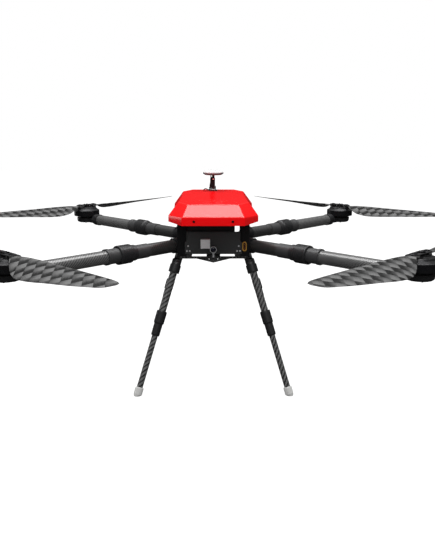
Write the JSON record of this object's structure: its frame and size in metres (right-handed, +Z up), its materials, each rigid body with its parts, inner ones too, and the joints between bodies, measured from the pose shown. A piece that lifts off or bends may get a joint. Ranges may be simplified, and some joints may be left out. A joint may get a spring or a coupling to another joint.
{
  "type": "quadcopter drone",
  "caption": "Four-rotor drone with plug-in carbon arms, folding propellers, red faceted hood, folding antenna mast and splayed fixed legs.",
  "frame": {"origin": "on the ground under the centre of the four motors", "axes": "+Z up, the front (camera and front panel) faces -Y; fl, fr, rl, rr are as seen from the front, so left is -X"},
  "size_m": [1.5076, 1.5126, 0.567],
  "materials": {
    "hood_paint": "glossy red paint over a moulded shell",
    "carbon_plate": "woven carbon plate, satin",
    "carbon_tube": "fine twill carbon tube, semi-gloss",
    "carbon_blade": "wide woven carbon, semi-gloss",
    "black_anodised": "black anodised, fine satin",
    "black_plastic": "moulded black, matt",
    "steel": "bright screw heads",
    "bolt_black": "black oxide",
    "white_plastic": "satin white moulding",
    "grey_plastic": "light grey moulding",
    "foot_rubber": "light grey rubber",
    "amber_plastic": "amber moulding",
    "battery_wrap": "black hard case",
    "board": "circuit housing",
    "lead_rubber": "thin rubber jacket"
  },
  "bodies": {
    "frame": {"hood": "hood_paint", "hood_brackets": "black_anodised", "frame_screws": "steel", "top_deck": "carbon_plate", "bottom_deck": "carbon_plate", "corner_posts": "black_anodised", "arm_roots": "carbon_tube", "root_sleeves": "black_anodised", "front_panel": "black_plastic", "battery_tray": "carbon_plate", "avionics_tray": "black_plastic", "speed_controllers": "board", "flight_controller": "board", "power_port": "amber_plastic", "signal_module": "grey_plastic", "camera_foot": "black_plastic", "gnss_base": "black_plastic", "hood_lead": "lead_rubber", "leg_clamps": "black_anodised", "leg_upper_tubes": "carbon_tube", "leg_couplers": "black_anodised", "leg_lower_tubes": "carbon_tube", "leg_feet": "foot_rubber"},
    "battery": {"battery": "battery_wrap"},
    "camera": {"camera": "black_plastic"},
    "mast": {"gnss_mast": "black_plastic", "gnss_antenna": "white_plastic", "mast_lead": "lead_rubber"},
    "arm_fl": {"arm_tube_fl": "carbon_tube", "arm_plug_fl": "black_anodised", "motor_mount_fl": "black_anodised"},
    "collar_fl": {"lock_collar_fl": "black_anodised"},
    "rotor_fl": {"motor_bell_fl": "black_anodised", "prop_hub_fl": "bolt_black"},
    "blade_a_fl": {"blade_a_fl": "carbon_blade"},
    "blade_b_fl": {"blade_b_fl": "carbon_blade"},
    "arm_fr": {"arm_tube_fr": "carbon_tube", "arm_plug_fr": "black_anodised", "motor_mount_fr": "black_anodised"},
    "collar_fr": {"lock_collar_fr": "black_anodised"},
    "rotor_fr": {"motor_bell_fr": "black_anodised", "prop_hub_fr": "bolt_black"},
    "blade_a_fr": {"blade_a_fr": "carbon_blade"},
    "blade_b_fr": {"blade_b_fr": "carbon_blade"},
    "arm_rl": {"arm_tube_rl": "carbon_tube", "arm_plug_rl": "black_anodised", "motor_mount_rl": "black_anodised"},
    "collar_rl": {"lock_collar_rl": "black_anodised"},
    "rotor_rl": {"motor_bell_rl": "black_anodised", "prop_hub_rl": "bolt_black"},
    "blade_a_rl": {"blade_a_rl": "carbon_blade"},
    "blade_b_rl": {"blade_b_rl": "carbon_blade"},
    "arm_rr": {"arm_tube_rr": "carbon_tube", "arm_plug_rr": "black_anodised", "motor_mount_rr": "black_anodised"},
    "collar_rr": {"lock_collar_rr": "black_anodised"},
    "rotor_rr": {"motor_bell_rr": "black_anodised", "prop_hub_rr": "bolt_black"},
    "blade_a_rr": {"blade_a_rr": "carbon_blade"},
    "blade_b_rr": {"blade_b_rr": "carbon_blade"}
  },
  "joints": [
    {"name": "arm_slide_fl", "type": "slide", "parent": "frame", "child": "arm_fl", "axis": [-0.7071, -0.7071, 0], "range_m": [0, 0.08]},
    {"name": "collar_turn_fl", "type": "hinge", "parent": "arm_fl", "child": "collar_fl", "pos_m": [-0.22663, -0.22663, 0.377], "axis": [-0.7071, -0.7071, 0], "range_deg": [0, 90]},
    {"name": "rotor_spin_fl", "type": "hinge", "parent": "arm_fl", "child": "rotor_fl", "pos_m": [-0.45962, -0.45962, 0.4], "axis": [0, 0, 1], "continuous": true},
    {"name": "blade_fold_a_fl", "type": "hinge", "parent": "rotor_fl", "child": "blade_a_fl", "pos_m": [-0.43982, -0.47942, 0.4215], "axis": [0, 0, 1], "range_deg": [-8, 95]},
    {"name": "blade_fold_b_fl", "type": "hinge", "parent": "rotor_fl", "child": "blade_b_fl", "pos_m": [-0.47942, -0.43982, 0.4215], "axis": [0, 0, 1], "range_deg": [-8, 95]},
    {"name": "arm_slide_fr", "type": "slide", "parent": "frame", "child": "arm_fr", "axis": [0.7071, -0.7071, 0], "range_m": [0, 0.08]},
    {"name": "collar_turn_fr", "type": "hinge", "parent": "arm_fr", "child": "collar_fr", "pos_m": [0.22663, -0.22663, 0.377], "axis": [0.7071, -0.7071, 0], "range_deg": [0, 90]},
    {"name": "rotor_spin_fr", "type": "hinge", "parent": "arm_fr", "child": "rotor_fr", "pos_m": [0.45962, -0.45962, 0.4], "axis": [0, 0, -1], "continuous": true},
    {"name": "blade_fold_a_fr", "type": "hinge", "parent": "rotor_fr", "child": "blade_a_fr", "pos_m": [0.47942, -0.43982, 0.4215], "axis": [0, 0, -1], "range_deg": [-8, 95]},
    {"name": "blade_fold_b_fr", "type": "hinge", "parent": "rotor_fr", "child": "blade_b_fr", "pos_m": [0.43982, -0.47942, 0.4215], "axis": [0, 0, -1], "range_deg": [-8, 95]},
    {"name": "arm_slide_rl", "type": "slide", "parent": "frame", "child": "arm_rl", "axis": [-0.7071, 0.7071, 0], "range_m": [0, 0.08]},
    {"name": "collar_turn_rl", "type": "hinge", "parent": "arm_rl", "child": "collar_rl", "pos_m": [-0.22663, 0.22663, 0.377], "axis": [-0.7071, 0.7071, 0], "range_deg": [0, 90]},
    {"name": "rotor_spin_rl", "type": "hinge", "parent": "arm_rl", "child": "rotor_rl", "pos_m": [-0.45962, 0.45962, 0.4], "axis": [0, 0, -1], "continuous": true},
    {"name": "blade_fold_a_rl", "type": "hinge", "parent": "rotor_rl", "child": "blade_a_rl", "pos_m": [-0.47942, 0.43982, 0.4215], "axis": [0, 0, -1], "range_deg": [-8, 95]},
    {"name": "blade_fold_b_rl", "type": "hinge", "parent": "rotor_rl", "child": "blade_b_rl", "pos_m": [-0.43982, 0.47942, 0.4215], "axis": [0, 0, -1], "range_deg": [-8, 95]},
    {"name": "arm_slide_rr", "type": "slide", "parent": "frame", "child": "arm_rr", "axis": [0.7071, 0.7071, 0], "range_m": [0, 0.08]},
    {"name": "collar_turn_rr", "type": "hinge", "parent": "arm_rr", "child": "collar_rr", "pos_m": [0.22663, 0.22663, 0.377], "axis": [0.7071, 0.7071, 0], "range_deg": [0, 90]},
    {"name": "rotor_spin_rr", "type": "hinge", "parent": "arm_rr", "child": "rotor_rr", "pos_m": [0.45962, 0.45962, 0.4], "axis": [0, 0, 1], "continuous": true},
    {"name": "blade_fold_a_rr", "type": "hinge", "parent": "rotor_rr", "child": "blade_a_rr", "pos_m": [0.43982, 0.47942, 0.4215], "axis": [0, 0, 1], "range_deg": [-8, 95]},
    {"name": "blade_fold_b_rr", "type": "hinge", "parent": "rotor_rr", "child": "blade_b_rr", "pos_m": [0.47942, 0.43982, 0.4215], "axis": [0, 0, 1], "range_deg": [-8, 95]},
    {"name": "battery_slide", "type": "slide", "parent": "frame", "child": "battery", "axis": [0, 1, 0], "range_m": [0, 0.15]},
    {"name": "mast_fold", "type": "hinge", "parent": "frame", "child": "mast", "pos_m": [0, 0.174, 0.512], "axis": [-1, 0, 0], "range_deg": [0, 70]},
    {"name": "camera_tilt", "type": "hinge", "parent": "frame", "child": "camera", "pos_m": [0, -0.165, 0.359], "axis": [1, 0, 0], "range_deg": [-25, 25]}
  ]
}
